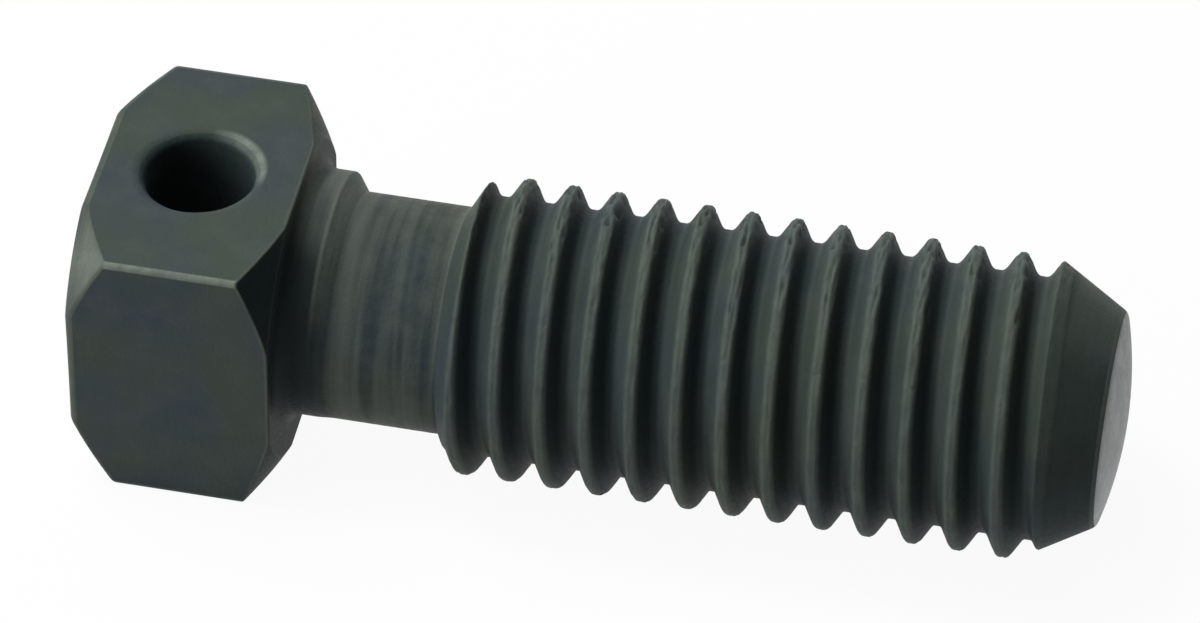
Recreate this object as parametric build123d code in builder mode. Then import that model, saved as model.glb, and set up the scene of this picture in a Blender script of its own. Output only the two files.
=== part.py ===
from build123d import *
from math import ceil, radians, sqrt, tan
import os

# A link screw for a pump: a square head drilled across for a locking wire or a pin,
# a short collar and a plain neck under it, and a right-hand screw thread that runs out
# into a tapered, slightly domed end.
#
# The screw lies on one flat of its head and on its thread, which are equally wide. Its
# own axis is the X axis with the tip towards plus X, the cross hole runs along Z, and
# the origin is the middle of the head's bearing face.

# Driving dimensions in millimetres and degrees
across_flats = 10.0
head_height = 6.8
head_corner_radius = 0.15
top_face_over_flats = 0.75
top_chamfer_angle = 40.0
bearing_face_over_flats = 0.65
bearing_chamfer_angle = 30.0

cross_hole_diameter = 3.6
cross_hole_easing = 0.25

shank_length = 27.1
collar_length = 1.35
collar_height = 0.25
collar_step_length = 0.2
head_fillet_radius = 0.6
neck_length = 5.25
neck_undercut = 0.28

thread_diameter = 10.0
thread_pitch = 1.5
thread_shoulder_angle = 45.0
groove_lead_in = 1.84

tip_taper_length = 2.45
tip_face_diameter = 6.9
tip_dome_height = 0.5

# The standard 60 degree thread form, worked out from the pitch
flank_slope = tan(radians(30))
thread_depth = thread_pitch * sqrt(3) / 2 * 17 / 24
crest_width = thread_pitch / 8
thread_radius = thread_diameter / 2
root_radius = thread_radius - thread_depth
root_half_width = (thread_pitch - crest_width) / 2 - thread_depth * flank_slope

# The groove's mouth stands out of the metal, by less than would make its turns meet
mouth_overlap = crest_width / 2
mouth_height = thread_depth + mouth_overlap
mouth_half_width = root_half_width + mouth_height * flank_slope

# The groove starts above the neck, clear of the metal, and winds on past the taper
groove_start = neck_length - groove_lead_in
groove_turns = ceil((shank_length + thread_pitch - groove_start) / thread_pitch)

# The neck is turned to just below the bottom of the thread, and the collar stands on it
neck_radius = root_radius - neck_undercut
collar_radius = neck_radius + collar_height
shoulder_length = (thread_radius - neck_radius) / tan(radians(thread_shoulder_angle))

# The head's two ends are turned to faces a little wider than the flats
corner_radius = across_flats / sqrt(2)
top_face_radius = (across_flats + top_face_over_flats) / 2
top_chamfer_height = (corner_radius - top_face_radius) * tan(radians(top_chamfer_angle))
bearing_face_radius = (across_flats + bearing_face_over_flats) / 2
bearing_chamfer_height = (corner_radius - bearing_face_radius) * tan(radians(bearing_chamfer_angle))


def groove_turn(turn):
    """One turn of the thread's groove: a V with a narrow flat root, wound right-handed."""
    with BuildPart() as turned_groove:
        with BuildLine():
            groove_path = Helix(
                thread_pitch,
                thread_pitch,
                root_radius,
                center=(groove_start + turn * thread_pitch, 0, 0),
                direction=(1, 0, 0),
            )
        with BuildSketch(Plane(origin=groove_path @ 0, x_dir=(1, 0, 0), z_dir=groove_path % 0)):
            with BuildLine():
                Polyline(
                    (-root_half_width, 0),
                    (root_half_width, 0),
                    (mouth_half_width, mouth_height),
                    (-mouth_half_width, mouth_height),
                    close=True,
                )
            make_face()
        sweep(path=groove_path, is_frenet=True)
    return turned_groove.part


thread_groove = [groove_turn(turn) for turn in range(groove_turns)]

with BuildPart() as link_screw:
    # Head: a square block with its long edges slightly rounded
    with BuildSketch(Plane.YZ.offset(-head_height)):
        RectangleRounded(across_flats, across_flats, head_corner_radius)
    extrude(amount=head_height)

    # Both ends of the head are turned, so that its four corners run out in cones
    with BuildSketch(Plane.XZ):
        with BuildLine():
            Polyline(
                (-head_height, 0),
                (-head_height, top_face_radius),
                (-head_height + top_chamfer_height, corner_radius),
                (-bearing_chamfer_height, corner_radius),
                (0, bearing_face_radius),
                (0, 0),
                close=True,
            )
        make_face()
    revolve(axis=Axis.X, mode=Mode.INTERSECT)

    # Shank: a fillet under the head, the collar, the neck, the blank of the thread, the
    # taper and its domed face
    with BuildSketch(Plane.XZ):
        with BuildLine():
            Line((0, 0), (0, collar_radius + head_fillet_radius))
            CenterArc((head_fillet_radius, collar_radius + head_fillet_radius), head_fillet_radius, 180, 90)
            Polyline(
                (head_fillet_radius, collar_radius),
                (collar_length, collar_radius),
                (collar_length + collar_step_length, neck_radius),
                (neck_length, neck_radius),
                (neck_length + shoulder_length, thread_radius),
                (shank_length - tip_taper_length, thread_radius),
                (shank_length, tip_face_diameter / 2),
            )
            TangentArc(
                (shank_length + tip_dome_height, 0), (shank_length, tip_face_diameter / 2), tangent=(0, 1)
            )
            Line((shank_length + tip_dome_height, 0), (0, 0))
        make_face()
    revolve(axis=Axis.X)

    # Thread
    add(thread_groove, mode=Mode.SUBTRACT)

    # Cross hole: through the head at half its height, with both mouths eased
    hole_plane = Plane((-head_height / 2, 0, 0), x_dir=(1, 0, 0), z_dir=(0, 0, 1))
    for hole_side in (hole_plane, hole_plane.rotated((180, 0, 0))):
        with Locations(hole_side.offset(across_flats / 2).location):
            CounterSinkHole(
                cross_hole_diameter / 2, cross_hole_diameter / 2 + cross_hole_easing, counter_sink_angle=90
            )

link_screw.part.label = "link_screw"

os.makedirs("parts", exist_ok=True)
export_step(link_screw.part, "parts/link_screw.step")
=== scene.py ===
import math

import bmesh
import bpy
from mathutils import Matrix, Vector, noise


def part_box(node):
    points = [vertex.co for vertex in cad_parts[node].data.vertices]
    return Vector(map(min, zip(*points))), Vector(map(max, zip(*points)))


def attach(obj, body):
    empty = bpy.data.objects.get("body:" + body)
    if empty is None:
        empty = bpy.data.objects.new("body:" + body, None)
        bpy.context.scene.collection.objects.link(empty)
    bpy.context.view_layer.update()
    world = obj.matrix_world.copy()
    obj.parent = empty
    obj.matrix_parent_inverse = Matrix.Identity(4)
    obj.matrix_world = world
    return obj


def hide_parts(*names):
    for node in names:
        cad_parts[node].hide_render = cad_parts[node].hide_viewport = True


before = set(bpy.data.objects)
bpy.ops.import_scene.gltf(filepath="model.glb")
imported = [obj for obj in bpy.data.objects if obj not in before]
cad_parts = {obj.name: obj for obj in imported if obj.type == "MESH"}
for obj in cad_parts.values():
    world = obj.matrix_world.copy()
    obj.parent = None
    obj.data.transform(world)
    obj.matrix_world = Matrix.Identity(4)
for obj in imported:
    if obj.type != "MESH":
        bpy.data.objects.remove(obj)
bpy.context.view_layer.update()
mm = 0.001

# The link screw is one piece of steel, blackened all over. First comes its head: a square
# block of bar, milled on four sides and turned at both ends, so that cones cut its
# corners. Every edge is slightly rounded.
screw_low, screw_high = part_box("link_screw")
half_flats = screw_high.z / mm
head_height = -screw_low.x / mm
top_face_margin = 0.375
top_face_radius = half_flats + top_face_margin
top_chamfer_angle = 40
bearing_face_margin = 0.325
bearing_face_radius = half_flats + bearing_face_margin
bearing_chamfer_angle = 30
outer_round = 0.28
bearing_round = 0.09
corner_round = 0.15

# How finely the head's skin is divided
flat_columns = 28
corner_columns = 5
face_rows = 5
cone_rows = 3
side_rows = 22
arc_rows = 3
support_width = 0.05
widest_support = 0.3


def flat_quarter():
    """The columns of a quarter of the head, corner to corner, as (y, z) of its upper flat."""
    reach = half_flats - corner_round
    sweep = math.atan(reach / half_flats)
    angles = [sweep - 2 * sweep * step / flat_columns for step in range(flat_columns + 1)]
    places = [(half_flats * math.tan(angle), half_flats) for angle in angles]
    places.insert(1, (reach - support_width, half_flats))
    places.insert(-1, (support_width - reach, half_flats))
    for step in range(1, corner_columns):
        turn = math.radians(90) * step / corner_columns
        places.append((-reach - corner_round * math.sin(turn), reach + corner_round * math.cos(turn)))
    return places


# A flat has its even columns and one more close to each of its ends
quarter = flat_quarter()
flat_width = flat_columns + 3
columns = []
for side in range(4):
    facing = Matrix.Rotation(math.radians(90) * side, 2)
    for place in quarter:
        y, z = facing @ Vector(place)
        columns.append((math.atan2(z, y), math.hypot(y, z)))
column_count = len(columns)


def corner_centre(end_x, inward, face_radius, normal_angle, side_radius, edge_round):
    """Centres of the two roundings of a turned end: face to cone, and cone to the head's side."""
    along, outward = math.cos(normal_angle), math.sin(normal_angle)
    cone = end_x * along + face_radius * outward - edge_round
    face_x = end_x + inward * edge_round
    side = side_radius - edge_round
    face_corner = (cone - face_x * along) / outward
    if face_corner >= side:
        return (face_x, side), (face_x, side)
    return (face_x, face_corner), ((cone - side * outward) / along, side)


def rounding(centre, radius, start, end, steps):
    """Points of an arc in the profile, from one surface's normal to the next one's."""
    turns = [math.radians(start + (end - start) * step / steps) for step in range(steps + 1)]
    return [(centre[0] + radius * math.cos(turn), centre[1] + radius * math.sin(turn)) for turn in turns]


def between(first, last, cuts):
    """Points inside a straight run of the profile, one close to each end to keep it flat."""
    length = math.dist(first, last)
    near = min(support_width / length, widest_support) if length > 0 else widest_support
    shares = [near] + [near + (1 - 2 * near) * cut / cuts for cut in range(1, cuts)] + [1 - near]
    return [tuple(a + (b - a) * share for a, b in zip(first, last)) for share in shares]


def head_profile(side_radius):
    """One column of the head, outer end first, and the rows where its side starts and ends."""
    top_normal = 180 - top_chamfer_angle
    top_face, top_side = corner_centre(
        -head_height, 1, top_face_radius, math.radians(top_normal), side_radius, outer_round
    )
    bearing_face, bearing_side = corner_centre(
        0, -1, bearing_face_radius, math.radians(bearing_chamfer_angle), side_radius, bearing_round
    )
    profile = between((-head_height, 0), (-head_height, top_face[1]), face_rows)[1:]
    arc = rounding(top_face, outer_round, 180, top_normal, arc_rows)
    side_arc = rounding(top_side, outer_round, top_normal, 90, arc_rows)
    profile += arc + between(arc[-1], side_arc[0], cone_rows) + side_arc
    side_start = len(profile) - 1
    far_arc = rounding(bearing_side, bearing_round, 90, bearing_chamfer_angle, arc_rows)
    profile += between(side_arc[-1], far_arc[0], side_rows) + far_arc
    side_end = len(profile) - 1 - arc_rows
    face_arc = rounding(bearing_face, bearing_round, bearing_chamfer_angle, 0, arc_rows)
    profile += between(far_arc[-1], face_arc[0], cone_rows) + face_arc
    return profile, side_start, side_end


# Its shank, turned in one piece with the head: a fillet, a short collar that was turned off
# centre, a plain neck, the threaded length and a taper with a low dome.
fillet_radius = 0.55
collar_radius = 4.12
collar_offset = 0.28
collar_offset_angle = math.radians(45)
collar_end = 1.1
collar_edge_round = 0.12
neck_radius = 3.8
neck_start = 1.6
neck_end = 5.25
neck_ripple = 0.006
ripples_per_mm = 5
shoulder_angle = math.radians(62)
shank_length = 27.1
taper_length = 2.45
tip_radius = 3.55
tip_edge_round = 0.4
dome_end = screw_high.x / mm

# How finely the shank's skin is divided
bearing_rows = 2
fillet_rows = 6
collar_rows = 6
collar_edge_rows = 4
neck_rows = 40
rim_rows = 4
dome_rows = 12


def neck_profile(face_radius, angle):
    """One column from the bearing face through the fillet, the collar and the neck."""
    turned_off = angle - collar_offset_angle
    collar = collar_offset * math.cos(turned_off)
    collar += math.sqrt(collar_radius**2 - (collar_offset * math.sin(turned_off)) ** 2)
    foot = (0, collar + fillet_radius)
    profile = between((0, face_radius), foot, bearing_rows)
    profile += rounding((fillet_radius, foot[1]), fillet_radius, 180, 270, fillet_rows)
    slope_normal = math.degrees(math.atan2(neck_start - collar_end, collar - neck_radius))
    edge_centre = (collar_end, collar - collar_edge_round)
    edge = rounding(edge_centre, collar_edge_round, 90, slope_normal, collar_edge_rows)
    profile += between(profile[-1], edge[0], collar_rows) + edge + [(neck_start, neck_radius)]
    step = (neck_end - neck_start) / neck_rows
    for row in range(1, neck_rows):
        x = neck_start + row * step
        ripple = neck_ripple * noise.noise(Vector((x * ripples_per_mm, 0, 0)))
        profile.append((x, neck_radius + ripple))
    return profile


def tip_profile():
    """One column from the end of the taper round its rim and over the dome, without the pole."""
    dome_height = dome_end - shank_length
    dome_radius = (tip_radius**2 + dome_height**2) / (2 * dome_height)
    taper_normal = 90 - math.degrees(math.atan((half_flats - tip_radius) / taper_length))
    dome_normal = math.degrees(math.asin(tip_radius / dome_radius))
    half_turn = math.radians(taper_normal - dome_normal) / 2
    back = math.radians(taper_normal) - half_turn
    reach = tip_edge_round / math.cos(half_turn)
    centre = (shank_length - reach * math.cos(back), tip_radius - reach * math.sin(back))
    rim = rounding(centre, tip_edge_round, taper_normal, dome_normal, rim_rows)
    lean = math.asin(rim[-1][1] / dome_radius)
    dome = []
    for row in range(1, dome_rows):
        turn = lean * (1 - row / dome_rows)
        dome.append((dome_end - dome_radius * (1 - math.cos(turn)), dome_radius * math.sin(turn)))
    return rim, dome


# Its thread: right-hand, cut with a single point tool whose rounded nose leaves rounded
# roots. The groove ends in the taper, on the underside.
pitch = 1.5
thread_phase = 0.022
crest_radius = half_flats
root_radius = 4.3
root_half_width = 0.2
groove_end = 25.2
groove_fade = 0.3
crest_softness = 0.12
root_softness = 0.2
thread_row_step = 0.042

# The crests are torn and nicked, most of all on one side
torn_side_angle = math.radians(46)
torn_elsewhere = 0.2
torn_from_radius = 4.62
torn_fully_radius = 4.92
tear_depth = 0.4
tear_level = 0.2
tear_detail = 3
tears_along = 4
tears_round = 3
nick_depth = 0.16
nick_level = -0.1
nicks_along = 9
nicks_round = 4

# Painted shade: the groove's side that faces the tip is darkened between these places, in pitches from
# the root
dark_start = -0.4
dark_full = -0.34
dark_fading = -0.02
dark_end = 0.12
flank_darkness = 0.84


def rise(value, start, end):
    """How far a value has come from a start to an end, as a share from 0 to 1."""
    return min(max((value - start) / (end - start), 0), 1)


def soft_min(a, b, softness):
    """The lesser of two lengths, with the corner between them rounded."""
    mix = max(softness - abs(a - b), 0) / softness
    return min(a, b) - mix * mix * softness / 4


def turns_from_root(x, angle):
    """How far a place lies from the middle of the nearest groove, in pitches towards the tip."""
    turn = x / pitch - thread_phase - angle / (2 * math.pi)
    return turn - round(turn)


def crest_damage(x, angle):
    """How deep a crest is torn and nicked at a place."""
    y, z = math.cos(angle) * crest_radius, math.sin(angle) * crest_radius
    tear_place = Vector((x * tears_along, y * tears_round, z * tears_round))
    tear = max(noise.turbulence(tear_place, tear_detail, False) - tear_level, 0)
    nick_place = Vector((x * nicks_along, y * nicks_round, z * nicks_round))
    nick = max(noise.noise(nick_place) - nick_level, 0)
    torn_side = torn_elsewhere + max(math.cos(angle - torn_side_angle), 0) ** 2
    return torn_side * (tear * tear_depth + nick * nick_depth)


def thread_radius(x, angle):
    """The radius of the threaded length at a place along it and an angle round it."""
    shoulder = neck_radius + max(x - neck_end, 0) * math.tan(shoulder_angle)
    taper_slope = (crest_radius - tip_radius) / taper_length
    taper = crest_radius - (x - shank_length + taper_length) * taper_slope
    blank = soft_min(soft_min(shoulder, crest_radius, crest_softness), taper, crest_softness)
    from_root = turns_from_root(x, angle) * pitch
    faded = rise(x - from_root, groove_end, groove_end + groove_fade)
    flank = root_radius + (abs(from_root) - root_half_width) * math.sqrt(3)
    groove = -soft_min(-root_radius, -flank, root_softness) + faded * (crest_radius - root_radius)
    radius = soft_min(blank, groove, crest_softness)
    return radius - rise(radius, torn_from_radius, torn_fully_radius) * crest_damage(x, angle)


def flank_painted_shade(x, angle):
    """How much painted shade the thread gets: darkest on the flanks that face the tip, away from the
    light.
    """
    from_root = turns_from_root(x, angle)
    towards_tip = rise(from_root, dark_start, dark_full)
    towards_head = rise(from_root, dark_end, dark_fading)
    return towards_tip * towards_head * flank_darkness


# All of the screw is one closed skin: its columns run from the outer end of the head to the tip. Its
# rows are counted here, so that rubbing, painted highlights, painted shade and finish can be given by
# row.
rim, dome = tip_profile()
thread_length = rim[0][0] - neck_end
thread_rows = round(thread_length / thread_row_step)
profiles = []
for angle, side_radius in columns:
    head, side_start, side_end = head_profile(side_radius)
    shank = neck_profile(head[-1][1], angle)
    thread = []
    for row in range(thread_rows):
        x = neck_end + thread_length * row / thread_rows
        thread.append((x, thread_radius(x, angle)))
    profiles.append(head + shank + thread + rim + dome)
row_count = len(profiles[0])
cone_row = face_rows + arc_rows
bearing_row = len(head) - 1
collar_edge_row = bearing_row + 1 + (bearing_rows + 1) + (fillet_rows + 1) + collar_rows
thread_row = len(head) + len(shank)
rim_row = thread_row + thread_rows
tip_row = rim_row + rim_rows // 2

# The coat is rubbed thin on the edges and crests. A painted highlight lightens the head's front corner,
# the chamfer beside it and the top of the collar's edge.
highlit_corner = 135
highlit_corner_reach = 20
corner_wear = 0.4
cone_highlight = 0.55
cone_highlight_reach = 14
bearing_wear = 0.2
crest_wear_start = 4.78
crest_wear_full = 4.98
rim_wear = 0.4
collar_highlight = 0.5
collar_highlight_angle = math.radians(108)
collar_highlight_start = 2 / 3

# Painted shade: the recess behind the head, the front of the neck and the thread, the taper's front and
# the thread's flanks that face the tip are darkened
dark_side_angle = math.radians(175)
dark_side_start = -0.25
dark_side_full = 7 / 12
neck_darkness = 0.3
collar_shade_full = 1.0
collar_shade_end = 2.8
taper_shade_start = groove_end + 0.1
taper_shade_full = groove_end + 0.4
taper_lightness = 0.35

screw_mesh = bmesh.new()
# One layer holds rubbing with painted highlights, the other painted shade
worn_and_highlit = screw_mesh.verts.layers.float.new("worn_and_highlit")
painted_shade = screw_mesh.verts.layers.float.new("painted_shade")


def wear_and_highlight_at(row, radius, angle, on_corner):
    """How rubbed the skin is at a point, with the painted highlights added in."""
    from_highlit = abs(math.degrees(angle) - highlit_corner)
    # The front corner gets a painted highlight on top of its rubbing, the other corners are only rubbed
    if on_corner and side_start <= row <= side_end:
        return 1 if from_highlit < highlit_corner_reach else corner_wear
    # Painted highlight on the chamfer beside the front corner
    if cone_row <= row < side_start:
        return cone_highlight * max(1 - from_highlit / cone_highlight_reach, 0)
    if side_end <= row <= side_end + arc_rows or bearing_row - arc_rows <= row <= bearing_row:
        return bearing_wear
    # Painted highlight on the top of the collar's edge
    if collar_edge_row <= row <= collar_edge_row + collar_edge_rows + 1:
        return collar_highlight * rise(math.cos(angle - collar_highlight_angle), collar_highlight_start, 1)
    if thread_row <= row < rim_row:
        return rise(radius, crest_wear_start, crest_wear_full)
    if rim_row <= row <= rim_row + rim_rows:
        return rim_wear
    return 0


def painted_shade_at(row, x, angle):
    """How much painted shade the skin gets at a point."""
    # Painted shade on the side that faces the front
    front_shade = rise(math.cos(angle - dark_side_angle), dark_side_start, dark_side_full)
    if side_end + arc_rows <= row < thread_row:
        return front_shade * max(rise(x, collar_shade_end, collar_shade_full), neck_darkness)
    if thread_row <= row < rim_row:
        on_taper = rise(x, taper_shade_start, taper_shade_full)
        painted_shade_amount = flank_painted_shade(x, angle) * (1 - on_taper)
        painted_shade_amount += on_taper * max(front_shade - taper_lightness, 0)
        return max(painted_shade_amount, front_shade * neck_darkness)
    return 0


def skin_point(x, radius, angle, wear_and_highlight=0, painted_shade_amount=0):
    """One point of the skin, in the frame's metres, with how rubbed and painted highlit it is, and its
    painted shade.
    """
    point = screw_mesh.verts.new(Vector((x, radius * math.cos(angle), radius * math.sin(angle))) * mm)
    point[worn_and_highlit] = wear_and_highlight
    point[painted_shade] = painted_shade_amount
    return point


# The upper and the lower flat, which the cross hole goes through, are left open for it
drilled = {}
for side, name in ((0, "upper"), (2, "lower")):
    first = side * len(quarter)
    drilled[name] = range(first, first + flat_width)

skin = []
for column, profile in enumerate(profiles):
    angle = columns[column][0]
    place = column % len(quarter)
    on_corner = place == 0 or place >= flat_width - 1
    opened = any(column in flat[1:-1] for flat in drilled.values())
    points = []
    for row, (x, radius) in enumerate(profile):
        if opened and side_start < row < side_end:
            points.append(None)
            continue
        wear_and_highlight = wear_and_highlight_at(row, radius, angle, on_corner)
        points.append(skin_point(x, radius, angle, wear_and_highlight, painted_shade_at(row, x, angle)))
    skin.append(points)

MILLED, TURNED, THREADED, DRILLED, END = range(5)


def finish_of(row):
    """Which finish the band of skin after a row has."""
    if side_start <= row < side_end:
        return MILLED
    if row < thread_row:
        return TURNED
    if row < tip_row:
        return THREADED
    return END


def skin_face(points, finish):
    """One face of the skin, unless it has closed up to a line."""
    if len(set(points)) == len(points):
        face = screw_mesh.faces.new(points)
        face.material_index = finish
        face.smooth = True


for column in range(column_count):
    here, there = skin[column], skin[(column + 1) % column_count]
    for row in range(row_count - 1):
        corners = (here[row], here[row + 1], there[row + 1], there[row])
        if None not in corners:
            skin_face(corners, finish_of(row))
for row, x, finish in ((0, -head_height, TURNED), (row_count - 1, dome_end, END)):
    pole = skin_point(x, 0, 0)
    for column in range(column_count):
        skin_face((pole, skin[column][row], skin[(column + 1) % column_count][row]), finish)

# Its cross hole: drilled through the head for a locking wire, with mouths eased by hand, most of all on
# the side towards the shank, where the mouth gets a painted highlight.
hole_radius = 1.8
hole_place = -head_height / 2
mouth_easing = 0.28
pale_side_angle = math.radians(42)
pale_side_easing = 0.8
highlight_start = 0.65
highlight_full = 0.9
outer_side_angle = math.radians(195)
outer_side_easing = 0.7

# How finely the flats round the hole, its mouths and its wall are divided
flat_rings = 12
mouth_rings = 5
milled_rings = 2
highlight_rings = 3
wall_rings = 16


def flat_border(name):
    """The skin's points round a drilled flat, from the same corner and the same way round."""
    flat = drilled[name] if name == "upper" else drilled[name][::-1]
    border = [skin[column][side_start] for column in flat]
    border += [skin[flat[-1]][row] for row in range(side_start + 1, side_end)]
    border += [skin[column][side_end] for column in flat[::-1]]
    border += [skin[flat[0]][row] for row in range(side_end - 1, side_start, -1)]
    return border


def hole_point(turn, reach, height, wear_and_highlight=0):
    """One point about the hole's own axis, in the frame's metres."""
    place = Vector((hole_place + reach * math.cos(turn), reach * math.sin(turn), height))
    point = screw_mesh.verts.new(place * mm)
    point[worn_and_highlit] = wear_and_highlight
    return point


def join_rings(first, second, finish):
    """A band of faces between two rings with the same number of points."""
    for step in range(len(first)):
        after = (step + 1) % len(first)
        skin_face((first[step], first[after], second[after], second[step]), finish)


def easing_at(turn):
    """How far the hole's mouth is eased, which varies round it."""
    pale_side = max(math.cos(turn - pale_side_angle), 0) ** 2
    outer_side = max(math.cos(turn - outer_side_angle), 0)
    return mouth_easing * (1 + pale_side_easing * pale_side + outer_side_easing * outer_side)


wall_ends = []
for name, level, inward in (("upper", half_flats, -1), ("lower", -half_flats, 1)):
    outer = flat_border(name)
    turns = [math.atan2(point.co.y / mm, point.co.x / mm - hole_place) for point in outer]
    reaches = [math.hypot(point.co.y / mm, point.co.x / mm - hole_place) for point in outer]
    for ring in range(1, flat_rings + 1):
        inner = []
        for turn, reach in zip(turns, reaches):
            mouth = hole_radius + easing_at(turn)
            near = support_width / (reach - mouth)
            share = near + (1 - 2 * near) * (ring - 1) / (flat_rings - 2) if ring < flat_rings else 1
            inner.append(hole_point(turn, reach + (mouth - reach) * share, level))
        join_rings(outer, inner, MILLED)
        outer = inner
    for ring in range(1, mouth_rings + 1):
        lean = math.radians(90) * ring / mouth_rings
        inner = []
        for turn in turns:
            easing = easing_at(turn)
            reach = hole_radius + easing * (1 - math.sin(lean))
            depth = easing * (1 - math.cos(lean))
            # Painted highlight on the mouth's side towards the shank
            wear_and_highlight = rise(math.cos(turn - pale_side_angle), highlight_start, highlight_full)
            wear_and_highlight = wear_and_highlight if ring <= highlight_rings else 0
            inner.append(hole_point(turn, reach, level + inward * depth, wear_and_highlight))
        join_rings(outer, inner, MILLED if ring <= milled_rings else DRILLED)
        outer = inner
    wall_ends.append(outer)

upper, lower = wall_ends
outer = upper
for ring in range(1, wall_rings):
    inner = []
    for top, bottom in zip(upper, lower):
        inner.append(screw_mesh.verts.new(top.co.lerp(bottom.co, ring / wall_rings)))
    join_rings(outer, inner, DRILLED)
    outer = inner
join_rings(outer, lower, DRILLED)

bmesh.ops.remove_doubles(screw_mesh, verts=screw_mesh.verts, dist=1e-7)
bmesh.ops.recalc_face_normals(screw_mesh, faces=screw_mesh.faces)
screw_data = bpy.data.meshes.new("link_screw_skin")
screw_mesh.to_mesh(screw_data)
screw_mesh.free()
screw = bpy.data.objects.new("link_screw_skin", screw_data)
bpy.context.collection.objects.link(screw)


# Its finish: black oxide, a thin dark coat that takes a green or a blue cast from the bath.
# It is rubbed pale grey along the edges, and the tool marks show through it. The same pale grey serves
# as painted highlight in places, and the coat is darkened towards near black as painted shade where the
# skin is marked for it.
def feed(tree, socket, value):
    """Give a socket a value, or link it to another node's result."""
    if isinstance(value, bpy.types.NodeSocket):
        tree.links.new(value, socket)
    else:
        socket.default_value = value


def new_group(name, inputs, outputs):
    """A shader node group with its named sockets, and its input and output nodes."""
    group = bpy.data.node_groups.new(name, "ShaderNodeTree")
    for direction, sockets in (("INPUT", inputs), ("OUTPUT", outputs)):
        for label, kind, value in sockets:
            socket = group.interface.new_socket(label, in_out=direction, socket_type=f"NodeSocket{kind}")
            if value is not None:
                socket.default_value = value
    return group, group.nodes.new("NodeGroupInput"), group.nodes.new("NodeGroupOutput")


def add_node(tree, kind, settings=None, **inputs):
    """A node with its settings, and each named input given a value or linked to a socket."""
    node = tree.nodes.new(f"ShaderNode{kind}")
    for name, value in (settings or {}).items():
        setattr(node, name, value)
    for name, value in inputs.items():
        feed(tree, node.inputs[name.replace("_", " ")], value)
    return node


def math_node(tree, operation, first, second, clamp=False):
    """A math node's result."""
    node = tree.nodes.new("ShaderNodeMath")
    node.operation = operation
    node.use_clamp = clamp
    feed(tree, node.inputs[0], first)
    feed(tree, node.inputs[1], second)
    return node.outputs[0]


def blend_colours(tree, share, first, second):
    """Two colours mixed by a share. A Mix node's colours are its sockets 6 and 7, its result is 2."""
    node = tree.nodes.new("ShaderNodeMix")
    node.data_type = "RGBA"
    feed(tree, node.inputs[0], share)
    feed(tree, node.inputs[6], first)
    feed(tree, node.inputs[7], second)
    return node.outputs[2]


def scaled_place(tree, scale):
    """The place on the screw in millimetres, stretched along each axis."""
    place = add_node(tree, "TexCoord")
    mapping = add_node(tree, "Mapping", Vector=place.outputs["Object"])
    mapping.inputs["Scale"].default_value = [share / mm for share in scale]
    return mapping.outputs[0]


def noise_band(tree, vector, scale, detail, low, high):
    """Noise between 0 and 1, spread out from a low to a high level."""
    spots = add_node(tree, "TexNoise", Vector=vector, Scale=scale, Detail=detail, Roughness=0.6)
    spread = add_node(tree, "MapRange", {"clamp": True}, Value=spots.outputs[0])
    spread.inputs["From Min"].default_value = low
    spread.inputs["From Max"].default_value = high
    return spread.outputs[0]


# Painted shade: the coat is darkened towards this colour where the skin is marked as shaded
painted_shade_coat = (0.0065, 0.0125, 0.0135)
mottling, mottling_in, mottling_out = new_group(
    "Oxide mottling",
    (
        ("Green Coat", "Color", (0.06, 0.075, 0.065, 1)),
        ("Blue Coat", "Color", (0.05, 0.06, 0.07, 1)),
        ("Thin Coat", "Color", (0.09, 0.1, 0.09, 1)),
        ("Thin Share", "Float", 0.3),
        ("Painted Shade Depth", "Float", 0.9),
    ),
    (("Colour", "Color", None), ("Grain", "Float", None), ("Unshaded", "Float", None)),
)
coat_place = scaled_place(mottling, (1, 1, 1))
patches = noise_band(mottling, coat_place, scale=0.22, detail=2, low=0.38, high=0.62)
clouds = noise_band(mottling, coat_place, scale=0.8, detail=4, low=0.45, high=0.75)
grain = noise_band(mottling, coat_place, scale=7, detail=3, low=0.3, high=0.7)
coat = blend_colours(
    mottling, patches, mottling_in.outputs["Green Coat"], mottling_in.outputs["Blue Coat"]
)
thin_share = math_node(mottling, "MULTIPLY", clouds, mottling_in.outputs["Thin Share"])
coat = blend_colours(mottling, thin_share, coat, mottling_in.outputs["Thin Coat"])
painted_shade_amount = add_node(mottling, "Attribute", {"attribute_name": "painted_shade"})
# Painted shade darkens the coat and keeps the tool-mark streaks out of it
painted_darkening = math_node(
    mottling, "MULTIPLY", painted_shade_amount.outputs["Fac"], mottling_in.outputs["Painted Shade Depth"]
)
coat = blend_colours(mottling, painted_darkening, coat, (*painted_shade_coat, 1))
mottling.links.new(coat, mottling_out.inputs["Colour"])
mottling.links.new(grain, mottling_out.inputs["Grain"])
mottling.links.new(math_node(mottling, "SUBTRACT", 1.0, painted_darkening), mottling_out.inputs["Unshaded"])

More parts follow.
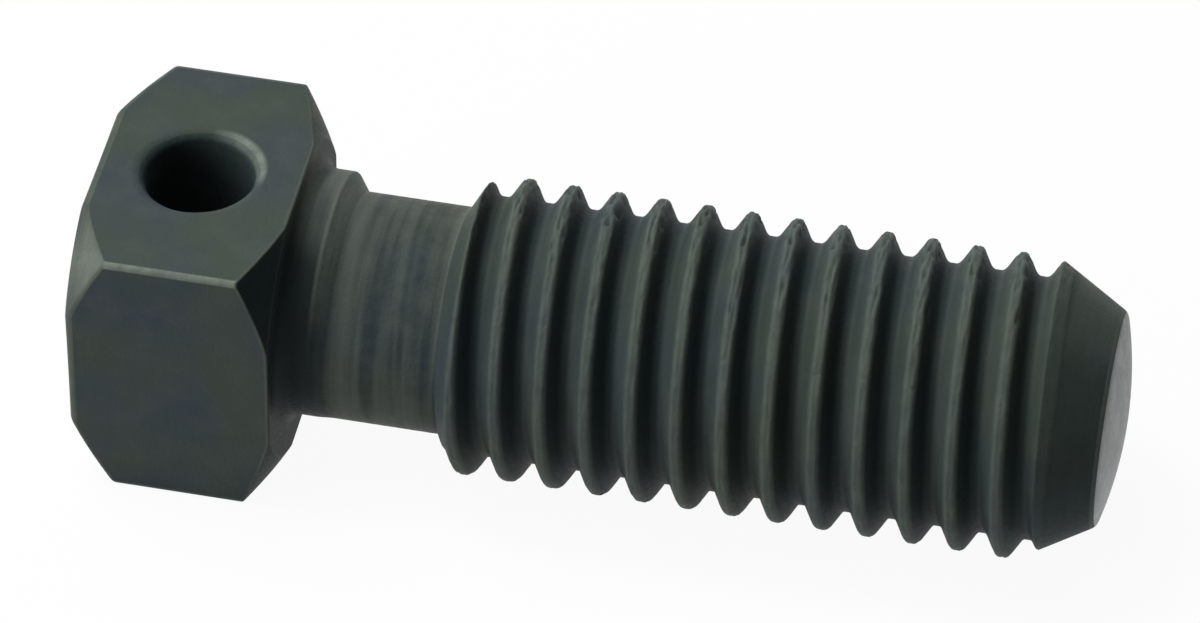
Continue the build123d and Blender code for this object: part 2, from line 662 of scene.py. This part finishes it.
edge_wear_and_highlight, wear_and_highlight_in, wear_and_highlight_out = new_group(
    "Edge wear and highlight",
    (("Amount", "Float", 0.8), ("Breakup", "Float", 0.4)),
    (("Mask", "Float", None),),
)
edges = add_node(edge_wear_and_highlight, "Attribute", {"attribute_name": "worn_and_highlit"})
wear_place = scaled_place(edge_wear_and_highlight, (1, 1, 1))
chips = noise_band(edge_wear_and_highlight, wear_place, scale=1.6, detail=4, low=0.3, high=0.7)
kept = math_node(edge_wear_and_highlight, "MULTIPLY", chips, wear_and_highlight_in.outputs["Breakup"])
left = math_node(edge_wear_and_highlight, "SUBTRACT", 1.0, kept)
mask = math_node(edge_wear_and_highlight, "MULTIPLY", edges.outputs["Fac"], left)
mask = math_node(edge_wear_and_highlight, "MULTIPLY", mask, wear_and_highlight_in.outputs["Amount"], clamp=True)
edge_wear_and_highlight.links.new(mask, wear_and_highlight_out.inputs["Mask"])

tool_marks, marks_in, marks_out = new_group(
    "Turning marks",
    (("Strength", "Float", 0.5),),
    (("Height", "Float", None), ("Streaks", "Float", None)),
)
ring_place = scaled_place(tool_marks, (6, 0.12, 0.12))
rings = noise_band(tool_marks, ring_place, scale=1, detail=3, low=0.3, high=0.7)
band_place = scaled_place(tool_marks, (1.6, 0.1, 0.1))
bands = noise_band(tool_marks, band_place, scale=1, detail=2, low=0.35, high=0.65)
height = math_node(tool_marks, "MULTIPLY", rings, marks_in.outputs["Strength"])
streaks = math_node(tool_marks, "MULTIPLY", bands, marks_in.outputs["Strength"])
tool_marks.links.new(height, marks_out.inputs["Height"])
tool_marks.links.new(streaks, marks_out.inputs["Streaks"])

green_coat = (0.053, 0.067, 0.056)
blue_coat = (0.045, 0.058, 0.07)
thin_coat = (0.08, 0.093, 0.085)
neck_green = (0.045, 0.056, 0.045)
neck_blue = (0.037, 0.049, 0.054)
neck_streak = (0.115, 0.132, 0.112)
thread_green = (0.05, 0.064, 0.052)
thread_blue = (0.042, 0.056, 0.06)
# The hole's bore is painted darker than the rest of the coat, as painted shade inside the hole
hole_shaded_green = (0.036, 0.052, 0.05)
hole_shaded_blue = (0.033, 0.048, 0.05)
end_green = (0.13, 0.14, 0.135)
end_blue = (0.17, 0.19, 0.2)
bare_end = (0.36, 0.37, 0.37)
# Pale grey of the rubbed edges, also used for the painted highlights
rubbed_edge_and_highlight = (0.19, 0.22, 0.185)
wear_breakup = 0.6
smoother_by = 0.06
rougher_by = 0.08
relief_depth = 0.03


def add_group(tree, group, **inputs):
    """A node group placed in a material with its own values."""
    node = tree.nodes.new("ShaderNodeGroup")
    node.node_tree = group
    for name, value in inputs.items():
        node.inputs[name.replace("_", " ")].default_value = value
    return node


def oxide_steel(
    name, green, blue, thin, thin_share, wear_and_highlight, marks, roughness, bump, metal=0.0, gloss=0.05
):
    """One finish of the blackened steel."""
    material = bpy.data.materials.new(name)
    material.use_nodes = True
    tree = material.node_tree
    shader = tree.nodes["Principled BSDF"]
    coat = add_group(
        tree,
        mottling,
        Green_Coat=(*green, 1),
        Blue_Coat=(*blue, 1),
        Thin_Coat=(*thin, 1),
        Thin_Share=thin_share,
    )
    worn_and_highlit_edges = add_group(tree, edge_wear_and_highlight, Amount=wear_and_highlight, Breakup=wear_breakup)
    turned = add_group(tree, tool_marks, Strength=marks)
    streak_share = math_node(tree, "MULTIPLY", turned.outputs["Streaks"], coat.outputs["Unshaded"])
    streaked = blend_colours(tree, streak_share, coat.outputs["Colour"], (*thin, 1))
    colour = blend_colours(tree, worn_and_highlit_edges.outputs["Mask"], streaked, (*rubbed_edge_and_highlight, 1))
    tree.links.new(colour, shader.inputs["Base Color"])
    rough = add_node(tree, "MapRange", Value=coat.outputs["Grain"])
    rough.inputs["To Min"].default_value = roughness - smoother_by
    rough.inputs["To Max"].default_value = roughness + rougher_by
    tree.links.new(rough.outputs[0], shader.inputs["Roughness"])
    shader.inputs["Metallic"].default_value = metal
    shader.inputs["Specular IOR Level"].default_value = gloss
    surface = math_node(tree, "ADD", coat.outputs["Grain"], turned.outputs["Height"])
    relief = add_node(tree, "Bump", Height=surface, Strength=bump, Distance=relief_depth * mm)
    tree.links.new(relief.outputs[0], shader.inputs["Normal"])
    return material


# One for each of MILLED, TURNED, THREADED, DRILLED and END
finishes = (
    oxide_steel(
        "milled_oxide", green_coat, blue_coat, thin_coat, thin_share=0.35,
        wear_and_highlight=1.0, marks=0.0, roughness=0.55, bump=0.25,
    ),
    oxide_steel(
        "turned_oxide", neck_green, neck_blue, neck_streak, thin_share=0.4,
        wear_and_highlight=0.8, marks=0.7, roughness=0.5, bump=0.35, gloss=0.04,
    ),
    oxide_steel(
        "thread_oxide", thread_green, thread_blue, thin_coat, thin_share=0.4,
        wear_and_highlight=0.26, marks=0.25, roughness=0.55, bump=0.3,
    ),
    oxide_steel(
        "drilled_oxide_shaded", hole_shaded_green, hole_shaded_blue, hole_shaded_green, thin_share=0.2,
        wear_and_highlight=0.6, marks=0.0, roughness=0.6, bump=0.3,
    ),
    oxide_steel(
        "end_oxide", end_green, end_blue, bare_end, thin_share=0.7,
        wear_and_highlight=0.3, marks=0.4, roughness=0.45, bump=0.3, metal=0.4, gloss=0.2,
    ),
)
for finish in finishes:
    screw_data.materials.append(finish)

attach(screw, "root")
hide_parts("link_screw")

# The floor: a plain white sheet of paper. The screw lies on it with one flat of its head
# and with its thread, and the sheet keeps the screw's soft shadow.
floor_size = 4.0
paper_white = (0.8, 0.8, 0.8, 1)
paper_glow_share = 0.94
bpy.ops.mesh.primitive_plane_add(size=floor_size, location=(0, 0, screw_low.z))
floor = bpy.context.object
floor.name = "floor"
paper = bpy.data.materials.new("white_paper")
paper.use_nodes = True
paper_tree = paper.node_tree
paper_shader = paper_tree.nodes["Principled BSDF"]
paper_shader.inputs["Base Color"].default_value = paper_white
paper_shader.inputs["Roughness"].default_value = 0.9
paper_shader.inputs["Specular IOR Level"].default_value = 0.0
paper_glow = add_node(paper_tree, "Emission", Strength=1.0)


def seen_share(tree):
    """1 for the rays that look at a surface, straight, in a reflection or through glass."""
    rays = add_node(tree, "LightPath")
    seen = math_node(tree, "MAXIMUM", rays.outputs["Is Glossy Ray"], rays.outputs["Is Transmission Ray"])
    return math_node(tree, "MAXIMUM", rays.outputs["Is Camera Ray"], seen)


paper_share = math_node(paper_tree, "MULTIPLY", seen_share(paper_tree), paper_glow_share)
paper_mix = paper_tree.nodes.new("ShaderNodeMixShader")
paper_tree.links.new(paper_share, paper_mix.inputs[0])
paper_tree.links.new(paper_shader.outputs[0], paper_mix.inputs[1])
paper_tree.links.new(paper_glow.outputs[0], paper_mix.inputs[2])
paper_tree.links.new(paper_mix.outputs[0], paper_tree.nodes["Material Output"].inputs["Surface"])
floor.data.materials.append(paper)

# The light: one large soft lamp overhead, a weaker one from the head's side, and a pale
# room that is dark in front and on the tip's side.
lamp_aim = Vector((0.01, 0, 0))


def soft_lamp(name, place, size, power):
    """A square area lamp that faces the middle of the screw."""
    data = bpy.data.lights.new(name, "AREA")
    data.size = size
    data.energy = power
    lamp = bpy.data.objects.new(name, data)
    lamp.location = place
    aim = lamp_aim - Vector(place)
    lamp.rotation_euler = aim.to_track_quat("-Z", "Y").to_euler()
    bpy.context.collection.objects.link(lamp)


soft_lamp("overhead_lamp", place=(-0.17, 0.03, 0.42), size=0.25, power=1.9)
soft_lamp("side_lamp", place=(-0.36, -0.3, 0.18), size=0.2, power=0.6)

dark_direction = (0.9, -0.43, 0)
pale_until = -1
dark_from = 0.4
pale_strength = 0.8
dark_strength = 0.02
white_strength = 1
world = bpy.data.worlds.new("pale_room")
bpy.context.scene.world = world
world.use_nodes = True
room = world.node_tree
room_light = room.nodes["Background"]
directions = add_node(room, "TexCoord")
towards_dark = add_node(room, "VectorMath", {"operation": "DOT_PRODUCT"})
room.links.new(directions.outputs["Generated"], towards_dark.inputs[0])
towards_dark.inputs[1].default_value = dark_direction
fade = add_node(room, "MapRange", Value=towards_dark.outputs["Value"])
fade.inputs["From Min"].default_value = pale_until
fade.inputs["From Max"].default_value = dark_from
fade.inputs["To Min"].default_value = pale_strength
fade.inputs["To Max"].default_value = dark_strength
strength = add_node(room, "Mix", {"data_type": "FLOAT"})
room.links.new(seen_share(room), strength.inputs[0])
room.links.new(fade.outputs[0], strength.inputs[2])
strength.inputs[3].default_value = white_strength
room.links.new(strength.outputs[0], room_light.inputs["Strength"])
room_light.inputs["Color"].default_value = (1, 1, 1, 1)

# The camera: a long lens, looking down on the lying screw from slightly beyond its tip.
camera_turn = 10.89
camera_height_angle = 43.61
camera_roll = 0.988
camera_distance = 226.4
camera_target = Vector((9.71, 1.658, -0.212))
lens_length = 204.72
film_width = 36.0
turned = Matrix.Rotation(math.radians(camera_turn), 4, "Z")
raised = Matrix.Rotation(math.radians(90 - camera_height_angle), 4, "X")
rolled = Matrix.Rotation(math.radians(camera_roll), 4, "Z")
camera_data = bpy.data.cameras.new("camera")
camera_data.lens = lens_length
camera_data.sensor_width = film_width
camera_data.clip_start = 0.01
camera = bpy.data.objects.new("camera", camera_data)
bpy.context.collection.objects.link(camera)
camera_axes = turned @ raised @ rolled
camera_place = (camera_target + camera_axes.to_3x3() @ Vector((0, 0, camera_distance))) * mm
camera.matrix_world = Matrix.Translation(camera_place) @ camera_axes
bpy.context.scene.camera = camera
bpy.context.scene.view_settings.view_transform = "Standard"
